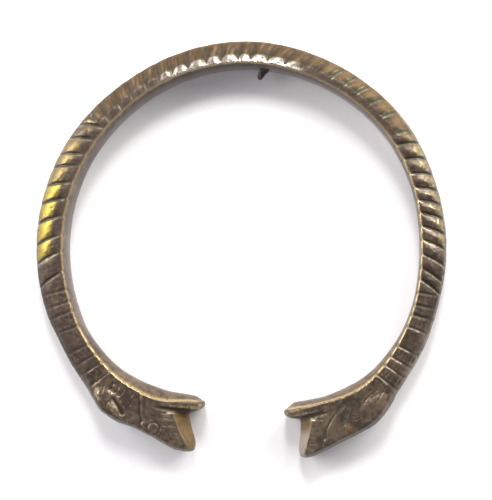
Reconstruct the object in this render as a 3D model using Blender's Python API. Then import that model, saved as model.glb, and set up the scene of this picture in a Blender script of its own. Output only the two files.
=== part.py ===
"""Snake bracelet: an open hoop cast in brass, with a serpent's head at each end.

It lies flat on its underside, +Z up. +Y is the back of the hoop, and the two mouths
face each other across the gap at -Y. Two coordinates follow the metal round:
along is a length on the inner circle, from the left lip round the back to the right lip,
and across is a share of the metal's width, 0 at the inner edge and 1 at the outer rim.
On a head, back is the length measured from that head's own lip.
"""

import math

import bmesh
import bpy
import numpy as np
from mathutils import Vector

MM = 0.001

# The hoop
inner_diameter = 62.6 * MM
metal_width = 4.6 * MM
metal_height = 6.2 * MM
gap_between_lips = 13.2 * MM
gap_middle_angle = 270.55
edge_round = 0.3 * MM
dome_tilt = 0.2

# The heads, and the carving on them
left_head_length = 18.95 * MM
right_head_length = 17.65 * MM
lip_width = 1.9 * MM
lip_round = 0.7 * MM
left_mouth_depth = 2.5 * MM
right_mouth_depth = 2.45 * MM
left_jaw_setback = 0.1 * MM
right_jaw_setback = 0.8 * MM
left_mouth_bevel = 2.3 * MM
right_mouth_bevel = 1.9 * MM
jaw_tip_bevel = 0.7 * MM
jaw_edge_height = 1.0 * MM
rim_round = 1.3 * MM
cheek_rise = 0.35 * MM
leaf_width = 1.2 * MM
leaf_depth = 0.45 * MM
jowl_groove_width = 0.8 * MM
jowl_groove_depth = 0.35 * MM
lip_groove_width = 0.9 * MM
lip_groove_depth = 0.35 * MM
eye_radius = 0.95 * MM
left_eye_rise = 0.32 * MM
right_eye_rise = 0.18 * MM
eye_ring_radius = 1.05 * MM
left_tooth_length = 2.2 * MM
right_tooth_length = 2.1 * MM
line_width = 0.4 * MM
line_depth = 0.2 * MM

# The grooves and the collars
narrow_groove = 1.05 * MM
broad_groove = 1.35 * MM
groove_depth = 0.42 * MM
collar_groove_width = 0.7 * MM
collar_groove_depth = 0.3 * MM
left_collar_lean = 0.6 * MM
left_collar_shift = 0.8 * MM
right_collar_lean = 0.4 * MM
hatch_strokes = 4
hatched_collar = 2.1 * MM
plain_collar = 1.7 * MM
broad_collar = 3.6 * MM

# The casting spur on the inner wall
spur_angle = 83.0
spur_height = 2.2 * MM
spur_reach = 1.9 * MM
spur_width = 1.2 * MM

# How far apart the rings of the heads and the rows of an engraved stroke are, how near two
# rings may come, the step that the skin's slope is told by, and how far a cut starts above it
head_ring_spacing = 0.68 * MM
stroke_row_spacing = 0.7 * MM
least_ring_gap = 0.05 * MM
slope_step = 0.1 * MM
cut_start_height = 0.12 * MM

# Outline of each head, as shares of its length: back from the lip, inner edge's step
# towards the middle, width, and how far the wall swells below the inner edge
LEFT_OUTLINE = (
    (0.00, 0.205, 0.496, 0.008),
    (0.05, 0.188, 0.484, 0.034),
    (0.135, 0.173, 0.481, 0.038),
    (0.24, 0.141, 0.438, 0.054),
    (0.38, 0.086, 0.368, 0.076),
    (0.52, 0.049, 0.340, 0.086),
    (0.65, 0.032, 0.362, 0.076),
    (0.77, 0.019, 0.365, 0.065),
    (0.88, 0.005, 0.330, 0.057),
    (1.00, 0.000, 0.295, 0.046),
)
RIGHT_OUTLINE = (
    (0.00, 0.139, 0.521, 0.008),
    (0.05, 0.122, 0.508, 0.038),
    (0.14, 0.110, 0.503, 0.048),
    (0.28, 0.084, 0.466, 0.048),
    (0.42, 0.056, 0.433, 0.045),
    (0.58, 0.017, 0.404, 0.056),
    (0.71, -0.014, 0.382, 0.065),
    (0.80, -0.025, 0.354, 0.059),
    (0.92, -0.034, 0.309, 0.053),
    (1.00, -0.034, 0.278, 0.046),
)
# The hoop between the heads: share of the way round, then the same three measures as
# shares of the metal's width
HOOP_OUTLINE = (
    (0.03, -0.02, 1.10, 0.13),
    (0.058, -0.03, 1.05, 0.065),
    (0.086, 0.0, 1.13, 0.03),
    (0.16, 0.02, 1.15, 0.03),
    (0.27, 0.01, 1.10, 0.03),
    (0.33, 0.02, 1.035, 0.03),
    (0.39, -0.02, 0.96, 0.03),
    (0.50, -0.055, 0.96, 0.03),
    (0.61, -0.02, 0.915, 0.03),
    (0.69, -0.02, 0.905, 0.03),
    (0.76, 0.04, 0.885, 0.03),
    (0.84, 0.11, 0.965, 0.03),
    (0.91, 0.0, 0.89, 0.045),
    (0.94, -0.055, 0.935, 0.065),
    (0.97, -0.10, 0.97, 0.12),
)

# Where each head's jowl groove crosses it: across, and share of the head's length
LEFT_JOWL = ((0.04, 0.657), (0.22, 0.615), (0.47, 0.563), (0.71, 0.516), (0.91, 0.48))
RIGHT_JOWL = ((0.05, 0.635), (0.25, 0.528), (0.46, 0.396), (0.67, 0.312), (0.9, 0.295))
# Eyes, and the engraved lines round them and on the cheeks, as (share of the head's
# length back from the lip, across)
LEFT_EYE = (0.379, 0.75)
LEFT_LEAF = ((0.84, 0.74), (0.73, 0.745), (0.65, 0.79))
RIGHT_EYE = (0.49, 0.76)
LEFT_LINES = (
    ((0.48, 0.81), (0.455, 0.66), (0.41, 0.54), (0.35, 0.53)),
    ((0.26, 0.69), (0.165, 0.83), (0.08, 0.87)),
    ((0.81, 0.55), (0.74, 0.60), (0.66, 0.72)),
    ((0.77, 0.10), (0.755, 0.22), (0.77, 0.34)),
    ((0.70, 0.06), (0.68, 0.18), (0.695, 0.30)),
    ((0.72, 0.42), (0.70, 0.50), (0.72, 0.58)),
    ((0.635, 0.30), (0.62, 0.40), (0.635, 0.50)),
    ((0.88, 0.20), (0.86, 0.34), (0.88, 0.48)),
)
RIGHT_LINES = (
    ((0.62, 0.27), (0.565, 0.37), (0.515, 0.52)),
    ((0.955, 0.10), (0.97, 0.30), (0.955, 0.48), (0.90, 0.55), (0.83, 0.60)),
    ((0.925, 0.40), (0.855, 0.33), (0.785, 0.32), (0.72, 0.40)),
    ((0.93, 0.30), (0.86, 0.23), (0.79, 0.22), (0.73, 0.28)),
    ((0.88, 0.45), (0.83, 0.41), (0.79, 0.42)),
    ((0.90, 0.08), (0.87, 0.17)),
    ((0.57, 0.52), (0.62, 0.545)),
)

# Collars behind each head, from the head outwards: length and whether they are hatched
COLLARS = (
    (hatched_collar, True),
    (plain_collar, False),
    (hatched_collar, True),
    (broad_collar, False),
    (hatched_collar, True),
    (plain_collar, False),
    (hatched_collar, True),
)
# Runs of grooves between the collars: first and last place as shares of the way, how many,
# how much they crowd towards the run's end, width, and how far the first's and the last's
# outer end lies ahead of the inner end, in shares of the metal's width
GROOVE_RUNS = (
    (0.0284, 0.2624, 10, 0.105, narrow_groove, -0.41, -0.50),
    (0.2746, 0.4676, 9, 0.0, broad_groove, 0.28, 0.11),
    (0.4886, 0.6065, 6, 0.0, broad_groove, 0.15, 0.37),
    (0.6296, 0.7523, 6, -0.1, narrow_groove, 0.33, 0.26),
    (0.7729, 0.9777, 11, 0.1, narrow_groove, 0.35, 0.43),
)
# A short groove where the two slants meet, which stops at the first run's last groove
SHORT_GROOVE = ((0.258, 0.44), (0.2625, 0.72), (0.267, 0.97))

inner_radius = inner_diameter / 2
half_height = metal_height / 2
gap_turn = 2 * math.asin(gap_between_lips / 2 / (inner_radius - lip_width * 1.6))
tip_angle = math.radians(gap_middle_angle) - gap_turn / 2
round_length = inner_radius * (2 * math.pi - gap_turn)
hoop_length = round_length - left_head_length - right_head_length
collars_length = sum(length for length, _ in COLLARS)
grooved_start = left_head_length + collars_length
grooved_length = hoop_length - 2 * collars_length


def smooth_through(stops, value):
    """A curve through (place, size) stops that never swings past a stop."""
    places, sizes = np.array(sorted(stops)).T
    steps = np.diff(places)
    slopes = np.diff(sizes) / steps
    tangents = np.concatenate([slopes[:1], np.zeros(len(steps) - 1), slopes[-1:]])
    for i in range(1, len(steps)):
        if slopes[i - 1] * slopes[i] > 0:
            before, after = 2 * steps[i] + steps[i - 1], steps[i] + 2 * steps[i - 1]
            tangents[i] = (before + after) / (before / slopes[i - 1] + after / slopes[i])
    value = np.clip(value, places[0], places[-1])
    i = np.clip(np.searchsorted(places, value) - 1, 0, len(steps) - 1)
    t = (value - places[i]) / steps[i]
    start = (1 + 2 * t) * (1 - t) ** 2 * sizes[i] + t * (1 - t) ** 2 * steps[i] * tangents[i]
    end = t * t * (3 - 2 * t) * sizes[i + 1] + t * t * (t - 1) * steps[i] * tangents[i + 1]
    return start + end


def ease(value):
    """0 below 0 and 1 above 1, with a smooth step between."""
    t = np.clip(value, 0, 1)
    return t * t * (3 - 2 * t)


def outline_stops(column):
    """One measure of the outline as (along, metres) stops from lip to lip."""
    left = [(row[0] * left_head_length, row[column] * left_head_length) for row in LEFT_OUTLINE]
    right = [
        (round_length - row[0] * right_head_length, row[column] * right_head_length)
        for row in RIGHT_OUTLINE
    ]
    hoop = [
        (left_head_length + row[0] * hoop_length, row[column] * metal_width)
        for row in HOOP_OUTLINE
    ]
    return left + hoop + right


def inner_edge(along):
    return inner_radius - smooth_through(outline_stops(1), along)


def width_at(along):
    return smooth_through(outline_stops(2), along)


def swell_at(along):
    return smooth_through(outline_stops(3), along)


def plan(along, across, inset=0.0):
    """Where a place on the metal lies, seen from above."""
    radius = inner_edge(along) + width_at(along) * across - inset
    angle = tip_angle - along / inner_radius
    return radius * np.cos(angle), radius * np.sin(angle)


def groove_lines():
    """Every groove of the hoop: its place on the inner circle, lean and half width."""
    lines = []
    for first, last, count, crowding, width, lean_first, lean_last in GROOVE_RUNS:
        for k in range(count):
            share = k / (count - 1)
            lean = lean_first + (lean_last - lean_first) * share
            share += crowding * share * (1 - share)
            place = grooved_start + grooved_length * (first + (last - first) * share)
            lines.append((place, lean * metal_width, width / 2))
    return lines


def left_collar_slip(edge):
    """How far a left collar's groove has slipped towards the mouth, and its lean. Past the
    broad collar both have gone."""
    near = 1 - ease((edge / collars_length - 0.6) / 0.15)
    return near * left_collar_shift, near * left_collar_lean


def collar_lines():
    """The cross grooves that part the collars, as (place, lean, half width)."""
    lines = []
    edge = 0.0
    for length in [0.0] + [length for length, _ in COLLARS]:
        edge += length
        slip, lean = left_collar_slip(edge)
        lines.append((left_head_length + edge - slip, lean, collar_groove_width / 2))
        place = round_length - right_head_length - edge
        lines.append((place, -right_collar_lean, collar_groove_width / 2))
    return lines


GROOVES = groove_lines()
COLLAR_GROOVES = collar_lines()


def vee(distance, half_width):
    return np.clip(1 - np.abs(distance) / half_width, 0, 1)


def grooving(along, across):
    """How deep the hoop's and the collars' grooves are cut at a place."""
    depth = 0.0 * along
    rim_fade = 1 - 0.6 * ease((across - 0.8) / 0.2)
    groove_fade = (0.15 + 0.85 * ease(across / 0.3)) * rim_fade
    for place, lean, half_width in GROOVES:
        cut = groove_depth * groove_fade * vee(along - place - lean * across, half_width)
        depth = np.maximum(depth, cut)
    for place, lean, half_width in COLLAR_GROOVES:
        cut = collar_groove_depth * rim_fade * vee(along - place - lean * across, half_width)
        depth = np.maximum(depth, cut)
    return depth


def mouth_line(head, across):
    """How far back from the lip the metal ends, which gives the open mouth its outline."""
    lip = lip_width / head["mouth_width"]
    depth = head["mouth_depth"]
    setback = head["jaw_setback"]
    stops = (
        (0.0, 0.25 * lip_width),
        (0.2 * lip, 0.06 * lip_width),
        (0.45 * lip, 0.0),
        (0.75 * lip, 0.15 * lip_width),
        (lip, 0.55 * depth),
        (1.25 * lip, depth),
        (0.5, setback + 0.62 * (depth - setback)),
        (0.88, setback),
        (0.95, setback + 0.02 * lip_width),
        (1.0, setback + 0.35 * lip_width),
    )
    return smooth_through(stops, across)


def bevel_line(head, across):
    """How far back the slope inside the mouth starts."""
    lip = lip_width / head["mouth_width"]
    slope = (
        (0.0, 0.5 * lip_width),
        (lip, 0.5 * lip_width),
        (1.3 * lip, head["mouth_bevel"]),
        (1.0, jaw_tip_bevel),
    )
    return mouth_line(head, across) + smooth_through(slope, across)


LEFT_HEAD = {
    "side": -1,
    "length": left_head_length,
    "mouth_width": LEFT_OUTLINE[0][2] * left_head_length,
    "mouth_depth": left_mouth_depth,
    "mouth_bevel": left_mouth_bevel,
    "jaw_setback": left_jaw_setback,
    "jowl": LEFT_JOWL,
    "eye": LEFT_EYE,
    "eye_rise": left_eye_rise,
    "collar_start": left_head_length - left_collar_shift,
    "collar_lean": left_collar_lean,
    "teeth": 8,
    "tooth_length": left_tooth_length,
    "lines": LEFT_LINES,
}
RIGHT_HEAD = {
    "side": 1,
    "length": right_head_length,
    "mouth_width": RIGHT_OUTLINE[0][2] * right_head_length,
    "mouth_depth": right_mouth_depth,
    "mouth_bevel": right_mouth_bevel,
    "jaw_setback": right_jaw_setback,
    "jowl": RIGHT_JOWL,
    "eye": RIGHT_EYE,
    "eye_rise": right_eye_rise,
    "collar_start": right_head_length,
    "collar_lean": right_collar_lean,
    "teeth": 7,
    "tooth_length": right_tooth_length,
    "lines": RIGHT_LINES,
}


def back_from_lip(head, along):
    return along if head["side"] < 0 else round_length - along


def along_of(head, back):
    return back if head["side"] < 0 else round_length - back


def slabness(along):
    """0 where the section is the hoop's dome, 1 where it is a head's flat cheek."""
    left = 1 - ease((along / left_head_length - 0.8) / 0.3)
    right = 1 - ease(((round_length - along) / right_head_length - 0.8) / 0.3)
    return np.maximum(left, right)


def section_height(along, across):
    """Half height of the plain section, before anything is cut into it."""
    dome = (1 - dome_tilt * across) * np.sqrt(np.clip(1 - across**3, 0, 1))
    width = width_at(along)
    rim = np.clip(1 - (1 - across) * width / rim_round, 0, 1)
    slab = np.sqrt(np.clip(1 - rim**2.2, 0, 1))
    blend = slabness(along)
    lip = 1 - ease(np.minimum(along, round_length - along) / right_head_length * 2.5)
    corner_round = edge_round + (lip_round - edge_round) * lip
    edge = np.clip(1 - across * width / corner_round, 0, 1)
    corner = corner_round * (1 - np.sqrt(1 - edge * edge))
    return half_height * (dome + (slab - dome) * blend) - corner


def mouth_share(head, along, across):
    """Share of the height left inside the mouth's slope and at the rounded lip."""
    lip = lip_width / head["mouth_width"]
    end = mouth_line(head, across)
    inside = (back_from_lip(head, along) - end) / (bevel_line(head, across) - end)
    inside = np.clip(inside, 0, 1)
    least = jaw_edge_height / metal_height
    slope = least + (1 - least) * inside
    nose = least + (1 - least) * np.sqrt(1 - (1 - inside) ** 2)
    return nose + (slope - nose) * ease((across / lip - 0.9) / 0.4)


def cheek(head, along, across):
    """The swelling behind the jowl."""
    back = back_from_lip(head, along) / head["length"]
    near = ((back - 0.78) / 0.16) ** 2 + ((across - 0.68) / 0.36) ** 2
    return cheek_rise * ease(1 - near)


def jowl_line(head, across):
    return head["length"] * smooth_through(head["jowl"], across)


def head_grooves(head, along, across):
    """The groove across the jowl and the one that sets the lip off from the cheek."""
    back = back_from_lip(head, along)
    jowl = jowl_groove_depth * vee(back - jowl_line(head, across), jowl_groove_width / 2)
    lip = 1.1 * lip_width / head["mouth_width"]
    reach = ease(2.2 - 4.4 * back / head["length"])
    offset = (across - lip) * head["mouth_width"]
    channel = lip_groove_depth * reach * vee(offset, lip_groove_width / 2)
    return np.maximum(jowl * ease((1 - across) / 0.15), channel)


def top_height(along, across):
    """Half height on the side that shows, with all that is cut in or raised on it."""
    height = section_height(along, across) - grooving(along, across)
    for head in (LEFT_HEAD, RIGHT_HEAD):
        edge_fade = ease((1 - across) / 0.12)
        relief = cheek(head, along, across) * edge_fade - head_grooves(head, along, across)
        height = (height + relief) * mouth_share(head, along, across)
    return height


def under_height(along, across):
    """Half height on the plainer side that it lies on, with flat cheeks."""
    height = section_height(along, across) - grooving(along, across)
    for head in (LEFT_HEAD, RIGHT_HEAD):
        height = height * mouth_share(head, along, across)
    return height


def surface(along, turn):
    """A point of the skin. turn runs once round the section: from the middle of the wall
    (-1) up to the inner edge (0), over the top to the rim (1), back underneath (2) and up
    the wall again (3)."""
    across = np.clip(1 - np.abs(1 - turn), 0, 1)
    top = top_height(along, across)
    under = under_height(along, across)
    level = np.where(turn < 0, 1 + turn, np.where(turn > 2, turn - 3, 0))
    inset = swell_at(along) * np.where((turn < 0) | (turn > 2), 1 - level * level, 0)
    rise = np.where(turn < 0, top * level, np.where(turn <= 1, top, -under))
    rise = np.where(turn > 2, under * level, rise)
    x, y = plan(along, across, inset)
    return np.stack([x, y, half_height + rise], axis=-1)


def across_of(turns):
    return np.clip(1 - np.abs(1 - turns), 0, 1)


def between(first, last, spacing):
    """Lines from the first to the last, about as far apart as the spacing."""
    count = max(1, round(float(np.mean(last - first)) / spacing))
    return [first + (last - first) * k / count for k in range(count + 1)]


# Where the lines that run along the metal lie on a ring, as turns
HOOP_TURNS = np.array([-1, 0, 0.1, 0.32, 0.58, 0.8, 0.94, 1, 1.08, 1.32, 1.7, 2])
HEAD_TURNS = np.array(
    [-1, -0.45, 0, 0.05, 0.11, 0.17, 0.22, 0.27, 0.36, 0.46, 0.57, 0.68, 0.78, 0.87, 0.95, 1]
    + [1.06, 1.16, 1.35, 1.6, 1.76, 1.83, 2, 2.45]
)


def head_stations(head):
    """Rings of one head from the mouth back to its first collar, as along values."""
    across = across_of(HEAD_TURNS)
    end = mouth_line(head, across)
    bevel = bevel_line(head, across)
    jowl = jowl_line(head, across)
    half = jowl_groove_width / 2
    stop = head["collar_start"] + head["collar_lean"] * across - 0.65 * collar_groove_width
    lines = [end + (bevel - end) * share for share in (0, 0.25, 0.6)]
    lines += between(bevel, jowl - half, head_ring_spacing)
    lines.append(jowl)
    lines += between(jowl + half, stop, head_ring_spacing)
    rings = [(back, HEAD_TURNS) for back in lines]
    if head["side"] > 0:
        rings = [(round_length - back, turns) for back, turns in reversed(rings)]
    return rings


def hoop_stations():
    """Rings of the hoop, which follow its grooves so that each is a true V."""
    rings = []
    across = across_of(HOOP_TURNS)
    for place, lean, half_width in sorted(GROOVES + COLLAR_GROOVES):
        for step in (-half_width, 0.0, half_width):
            rings.append((place + lean * across + step, HOOP_TURNS))
    return rings


def apart(rings):
    """The rings in order, each kept clear of the one before it."""
    kept = rings[:1]
    for along, turns in rings[1:]:
        last, last_turns = kept[-1]
        floor = np.interp(across_of(turns), *order_by_across(last_turns, last)) + least_ring_gap
        kept.append((np.maximum(along, floor), turns))
    return kept


def order_by_across(turns, along):
    across = across_of(turns)
    order = np.argsort(across, kind="stable")
    return across[order], along[order]


def add_ring(mesh, ring):
    along, turns = ring
    return [mesh.verts.new(point) for point in surface(along, turns)]


def bridge(mesh, first, second, first_turns, second_turns):
    """A strip of triangles between two closed rings, which may have unlike counts."""
    i = j = 0
    ends = list(first_turns) + [3], list(second_turns) + [3]
    while i < len(first) or j < len(second):
        a, b = first[i % len(first)], second[j % len(second)]
        if j == len(second) or (i < len(first) and ends[0][i + 1] <= ends[1][j + 1]):
            i += 1
            mesh.faces.new((a, b, first[i % len(first)]))
        else:
            j += 1
            mesh.faces.new((a, b, second[j % len(second)]))


def cap(mesh, ring, turns, facing):
    """Closes a mouth with triangles between the upper and the lower half of its ring."""
    rim = list(turns).index(1)
    upper = list(range(rim + 1))
    lower = [0] + list(range(len(ring) - 1, rim - 1, -1))
    i = j = 0
    while i < len(upper) - 1 or j < len(lower) - 1:
        reach_up = turns[upper[min(i + 1, len(upper) - 1)]]
        reach_down = 2 - turns[lower[min(j + 1, len(lower) - 1)]]
        a, b = ring[upper[i]], ring[lower[j]]
        if j == len(lower) - 1 or (i < len(upper) - 1 and reach_up <= reach_down):
            i += 1
            corners = (a, b, ring[upper[i]])
        else:
            j += 1
            corners = (a, b, ring[lower[j]])
        if len(set(corners)) == 3:
            mesh.faces.new(corners if facing > 0 else corners[::-1])


def bracelet_mesh():
    rings = apart(head_stations(LEFT_HEAD) + hoop_stations() + head_stations(RIGHT_HEAD))
    mesh = bmesh.new()
    loops = [add_ring(mesh, ring) for ring in rings]
    for k in range(len(loops) - 1):
        bridge(mesh, loops[k], loops[k + 1], rings[k][1], rings[k + 1][1])
    cap(mesh, loops[0], HEAD_TURNS, 1)
    cap(mesh, loops[-1], HEAD_TURNS, -1)
    bmesh.ops.recalc_face_normals(mesh, faces=mesh.faces)
    return mesh


def skin_frame(along, across):
    """A point of the upper skin and the direction out of it."""
    point = surface(np.array(along), np.array(across))
    forward = surface(np.array(along + slope_step), np.array(across)) - point
    outward = surface(np.array(along), np.array(across + slope_step / metal_width)) - point
    normal = Vector(outward).cross(Vector(forward)).normalized()
    return Vector(point), normal if normal.z > 0 else -normal


def curve(path, count):
    """Points spaced along a smooth curve through the path's own points."""
    shares = np.linspace(0, len(path) - 1, count)
    return np.stack([smooth_through(enumerate(column), shares) for column in zip(*path)], axis=-1)


def engrave(mesh, path, width=line_width, depth=line_depth):
    """A graver's V-shaped cut along a path of (along, across), pointed at both ends."""
    ends = [skin_frame(*path[k])[0] for k in range(len(path))]
    reach = sum((b - a).length for a, b in zip(ends, ends[1:]))
    rows_wanted = max(2, round(reach / stroke_row_spacing))
    frames = [skin_frame(along, across) for along, across in curve(path, rows_wanted + 2)]
    rows = []
    for k in range(1, len(frames) - 1):
        point, normal = frames[k]
        forward = (frames[k + 1][0] - frames[k - 1][0]).normalized()
        side = normal.cross(forward) * width / 2 * (1 + cut_start_height / depth)
        above = point + normal * cut_start_height
        corners = (above + side, above - side)
        rows.append([mesh.verts.new(corner) for corner in (*corners, point - normal * depth)])
    tips = [mesh.verts.new(point + normal * cut_start_height) for point, normal in (frames[0], frames[-1])]
    for k in range(3):
        pair = (k, (k + 1) % 3)
        mesh.faces.new((tips[0], rows[0][pair[0]], rows[0][pair[1]]))
        mesh.faces.new((tips[1], rows[-1][pair[1]], rows[-1][pair[0]]))
        for before, after in zip(rows, rows[1:]):
            mesh.faces.new((before[pair[0]], after[pair[0]], after[pair[1]], before[pair[1]]))


def tooth_paths(head):
    """The short cuts side by side behind the mouth's slope, shorter towards the jaw's tip."""
    paths = []
    for k in range(head["teeth"]):
        share = k / (head["teeth"] - 1)
        across = 0.26 + 0.54 * share
        near = float(bevel_line(head, across)) + line_width / 2
        far = near + head["tooth_length"] * (1 - 0.4 * share) * (1 - 0.15 * (k % 2))
        paths.append(((along_of(head, near), across), (along_of(head, far), across + 0.06)))
    return paths


def eye_ring_path(head):
    """The cut round the eye, left open for a moment at its front corner."""
    back, across = head["eye"]
    along = along_of(head, back * head["length"])
    across_reach = eye_ring_radius / float(width_at(along))
    path = []
    for k in range(11):
        turn = math.radians(15 + 33 * k)
        ahead = eye_ring_radius * math.cos(turn)
        path.append((along + ahead, across + across_reach * math.sin(turn)))
    return path


def line_paths(head):
    for line in head["lines"]:
        yield [(along_of(head, back * head["length"]), across) for back, across in line]


def hatch_paths():
    """The cuts that run along each hatched collar, between its two grooves."""
    margin = collar_groove_width * 0.75
    in_order = sorted(COLLAR_GROOVES)
    sides = in_order[: len(COLLARS) + 1], in_order[len(COLLARS) + 1 :]
    for grooves in sides:
        for i, (_, hatched) in enumerate(COLLARS):
            first, first_lean, _ = grooves[i]
            last, last_lean, _ = grooves[i + 1]
            for k in range(hatch_strokes if hatched else 0):
                across = 0.14 + 0.66 * k / (hatch_strokes - 1)
                start = first + first_lean * across + margin
                yield [(start, across), (last + last_lean * across - margin, across)]


def engraving_mesh():
    mesh = bmesh.new()
    for head in (LEFT_HEAD, RIGHT_HEAD):
        for path in [*tooth_paths(head), *line_paths(head)]:
            engrave(mesh, path)
    for path in hatch_paths():
        engrave(mesh, path)
    engrave(mesh, eye_ring_path(LEFT_HEAD))
    leaf = [(back * left_head_length, across) for back, across in LEFT_LEAF]
    engrave(mesh, leaf, leaf_width, leaf_depth)
    short = [(grooved_start + grooved_length * share, across) for share, across in SHORT_GROOVE]
    engrave(mesh, short, narrow_groove, groove_depth)
    bmesh.ops.recalc_face_normals(mesh, faces=mesh.faces)
    return mesh


def raised_mesh():
    """The eyes' bosses and the spur, which are joined to the casting."""
    mesh = bmesh.new()
    for head in (LEFT_HEAD, RIGHT_HEAD):
        back, across = head["eye"]
        point, _ = skin_frame(along_of(head, back * head["length"]), across)
        made = bmesh.ops.create_uvsphere(mesh, u_segments=12, v_segments=7, radius=eye_radius)
        bmesh.ops.scale(mesh, vec=(1, 1, 0.8), verts=made["verts"])
        sunk = point - Vector((0, 0, 0.8 * eye_radius - head["eye_rise"]))
        bmesh.ops.translate(mesh, vec=sunk, verts=made["verts"])
    spur = bmesh.ops.create_cone(
        mesh,
        cap_ends=True,
        segments=8,
        radius1=spur_width / 2,
        radius2=spur_width / 3.5,
        depth=spur_reach + metal_width / 4,
    )
    turn = math.radians(spur_angle)
    inward = Vector((-math.cos(turn) - 0.12, -math.sin(turn), 0.0)).normalized()
    wall = Vector((math.cos(turn), math.sin(turn), 0.0)) * inner_radius
    middle = wall + inward * (spur_reach - metal_width / 4) / 2 + Vector((0, 0, spur_height))
    bmesh.ops.rotate(mesh, matrix=inward.to_track_quat("Z", "Y").to_matrix(), verts=spur["verts"])
    bmesh.ops.translate(mesh, vec=middle, verts=spur["verts"])
    bmesh.ops.recalc_face_normals(mesh, faces=mesh.faces)
    return mesh


def brass():
    material = bpy.data.materials.new("worn_brass")
    material.use_nodes = True
    shader = material.node_tree.nodes["Principled BSDF"]
    shader.inputs["Base Color"].default_value = (0.30, 0.21, 0.10, 1.0)
    shader.inputs["Metallic"].default_value = 1.0
    shader.inputs["Roughness"].default_value = 0.38
    return material


def new_collection(name):
    collection = bpy.data.collections.new(name)
    bpy.context.scene.collection.children.link(collection)
    return collection


def new_object(name, mesh, collection, place):
    data = bpy.data.meshes.new(name)
    mesh.to_mesh(data)
    mesh.free()
    data.shade_smooth()
    data.set_sharp_from_angle(angle=math.radians(30))
    item = bpy.data.objects.new(name, data)
    item.location = place
    collection.objects.link(item)
    return item


def add_boolean(item, tool, operation):
    tool.hide_render = True
    tool.display_type = "WIRE"
    modifier = item.modifiers.new(tool.name, "BOOLEAN")
    modifier.object = tool
    modifier.operation = operation
    modifier.solver = "EXACT"
    modifier.use_self = True


def resting_place(mesh):
    """What moves the middle of the bracelet's underside to the origin."""
    corners = np.array([vertex.co for vertex in mesh.verts])
    low, high = corners.min(axis=0), corners.max(axis=0)
    return (-(low[0] + high[0]) / 2, -(low[1] + high[1]) / 2, -low[2])


def main():
    for item in list(bpy.data.objects):
        bpy.data.objects.remove(item)
    parts = new_collection("snake_bracelet")
    cutters = new_collection("cutters")
    mesh = bracelet_mesh()
    place = resting_place(mesh)
    bracelet = new_object("bracelet", mesh, parts, place)
    bracelet.data.materials.append(brass())
    add_boolean(bracelet, new_object("raised_work", raised_mesh(), cutters, place), "UNION")
    add_boolean(bracelet, new_object("engraving", engraving_mesh(), cutters, place), "DIFFERENCE")


main()
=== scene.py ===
"""The looks of the snake bracelet: its carving in full, its worn brass, and a white table.

One piece, snake_casting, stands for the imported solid. It is made from the same outline as
the solid, in the same two coordinates: along is a length on the inner circle, from the
left lip round the back to the right lip, and across is a share of the metal's width, 0 at
the inner edge and 1 at the outer rim. On a head, back is the length from its own lip.
"""

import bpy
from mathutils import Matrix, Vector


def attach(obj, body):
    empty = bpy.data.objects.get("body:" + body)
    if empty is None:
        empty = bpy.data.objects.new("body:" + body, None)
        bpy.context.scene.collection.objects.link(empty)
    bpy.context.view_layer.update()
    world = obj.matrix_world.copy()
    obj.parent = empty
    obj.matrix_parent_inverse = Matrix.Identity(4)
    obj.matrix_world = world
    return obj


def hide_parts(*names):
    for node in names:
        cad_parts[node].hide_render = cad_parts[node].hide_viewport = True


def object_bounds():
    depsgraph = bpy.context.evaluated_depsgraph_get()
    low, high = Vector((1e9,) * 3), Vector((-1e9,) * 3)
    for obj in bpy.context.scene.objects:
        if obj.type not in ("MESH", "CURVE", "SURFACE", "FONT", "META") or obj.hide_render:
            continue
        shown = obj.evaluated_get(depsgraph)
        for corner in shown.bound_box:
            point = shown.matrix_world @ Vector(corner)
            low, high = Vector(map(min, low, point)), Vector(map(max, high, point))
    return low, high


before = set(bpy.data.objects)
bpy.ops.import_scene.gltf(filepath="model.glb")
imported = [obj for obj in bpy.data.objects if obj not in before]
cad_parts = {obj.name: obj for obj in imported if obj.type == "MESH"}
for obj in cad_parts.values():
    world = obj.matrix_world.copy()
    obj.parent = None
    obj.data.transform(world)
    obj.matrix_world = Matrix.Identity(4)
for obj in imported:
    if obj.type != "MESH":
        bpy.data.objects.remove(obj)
cad_box = [list(corner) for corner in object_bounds()]

import itertools
import math

import bpy
import numpy as np
from mathutils import Matrix, Vector

MM = 0.001

# The hoop
inner_diameter = 62.6 * MM
metal_width = 4.6 * MM
metal_height = 6.2 * MM
gap_between_lips = 13.2 * MM
gap_middle_angle = 270.55
edge_round = 0.3 * MM
dome_tilt = 0.2

# The heads
left_head_length = 18.95 * MM
right_head_length = 17.65 * MM
lip_width = 1.9 * MM
lip_round = 0.95 * MM
jaw_tip_bevel = 0.7 * MM
jaw_edge_height = 1.0 * MM
jaw_edge_round = 0.35 * MM
rim_round = 1.3 * MM

# The grooves and the collars
groove_slope = 0.95
groove_bottom = 0.05 * MM
hollow_reach = 1.2 * MM
burr_gap = 0.08 * MM
collar_groove_width = 0.75 * MM
left_collar_lean = 0.6 * MM
left_collar_shift = 0.8 * MM
right_collar_lean = 0.4 * MM
hatched_collar = 2.1 * MM
plain_collar = 1.7 * MM
broad_collar = 3.6 * MM

# The casting spur on the inner wall
spur_angle = 83.0
spur_height = 2.2 * MM
spur_reach = 1.9 * MM
spur_width = 1.2 * MM
spur_root = 0.6 * MM

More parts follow.
